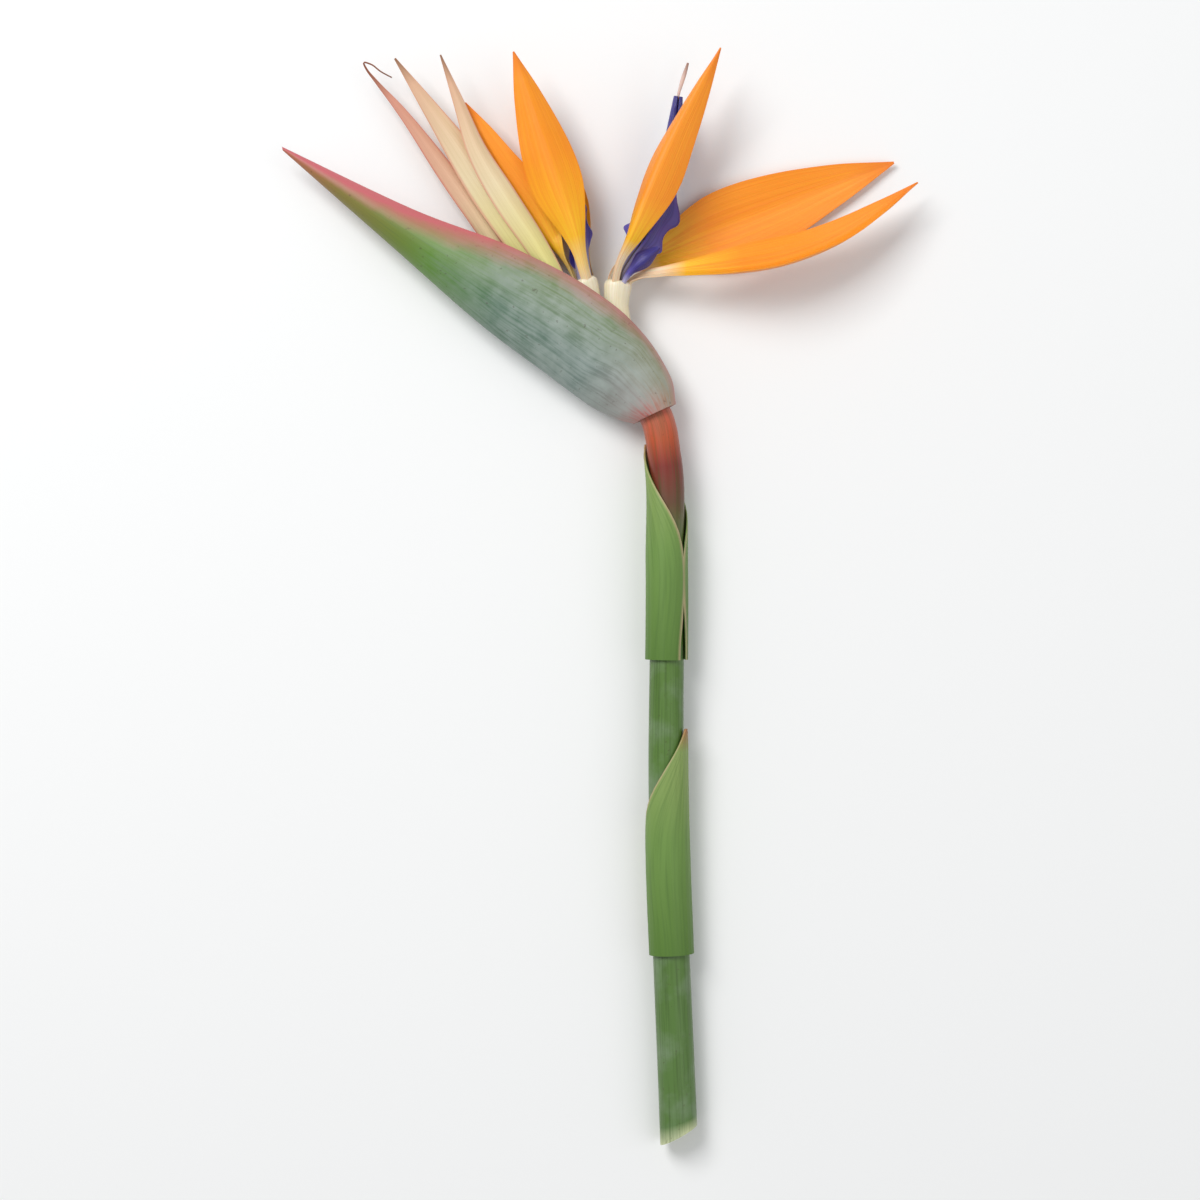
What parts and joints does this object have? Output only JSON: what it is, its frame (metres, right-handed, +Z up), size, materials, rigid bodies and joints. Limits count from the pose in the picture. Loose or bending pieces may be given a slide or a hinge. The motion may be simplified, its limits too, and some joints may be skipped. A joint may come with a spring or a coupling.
{
  "type": "bird of paradise flower",
  "caption": "Cut bird of paradise flower lying on its side, with a beak-like spathe, orange sepals, blue arrow petals and a long bent stem.",
  "frame": {"origin": "middle of the bounding box at its lowest face, which is the surface that the flower lies on", "axes": "+Y from the cut end of the stem towards the flower's head, the longest extent; +Z up from the surface, the shortest extent; the beak of the spathe points to -X"},
  "size_m": [0.2304, 0.3964, 0.0279],
  "materials": {
    "stem": "smooth green stalk with a grey bloom, orange red at the neck",
    "sheath": "satin green leaf base with a reddish margin",
    "spathe": "grey green with a powdery wax bloom, pink along the rim",
    "ovary": "smooth cream",
    "sepal": "satin orange, yellow at the foot, fine lengthwise veins",
    "blue_petal": "satin violet blue, pale at the foot",
    "style": "matt pale pink",
    "stamen": "matt cream",
    "bract": "thin cream membrane, pinkish at the edge",
    "bud": "smooth yellow green"
  },
  "bodies": {
    "root": {"stem": "stem", "upper_sheath": "sheath", "lower_sheath": "sheath", "spathe": "spathe", "floret_1_ovary": "ovary", "floret_1_sepal_upright": "sepal", "floret_1_sepal_rear": "sepal", "floret_1_sepal_lower": "sepal", "floret_1_nectary_petal": "blue_petal", "floret_1_arrow_left": "blue_petal", "floret_1_arrow_right": "blue_petal", "floret_1_style": "style", "floret_1_stamen_1": "stamen", "floret_1_stamen_2": "stamen", "floret_1_stamen_3": "stamen", "floret_1_stamen_4": "stamen", "floret_1_stamen_5": "stamen", "floret_2_ovary": "ovary", "floret_2_sepal_upright": "sepal", "floret_2_sepal_left": "sepal", "floret_2_sepal_rear": "sepal", "floret_2_nectary_petal": "blue_petal", "floret_2_arrow_left": "blue_petal", "floret_2_arrow_right": "blue_petal", "floret_2_style": "style", "floret_2_stamen_1": "stamen", "floret_2_stamen_2": "stamen", "floret_2_stamen_3": "stamen", "floret_2_stamen_4": "stamen", "floret_2_stamen_5": "stamen", "bract_outer": "bract", "bract_middle": "bract", "bract_inner": "bract", "bud_upper": "bud", "bud_lower": "bud"}
  },
  "joints": []
}
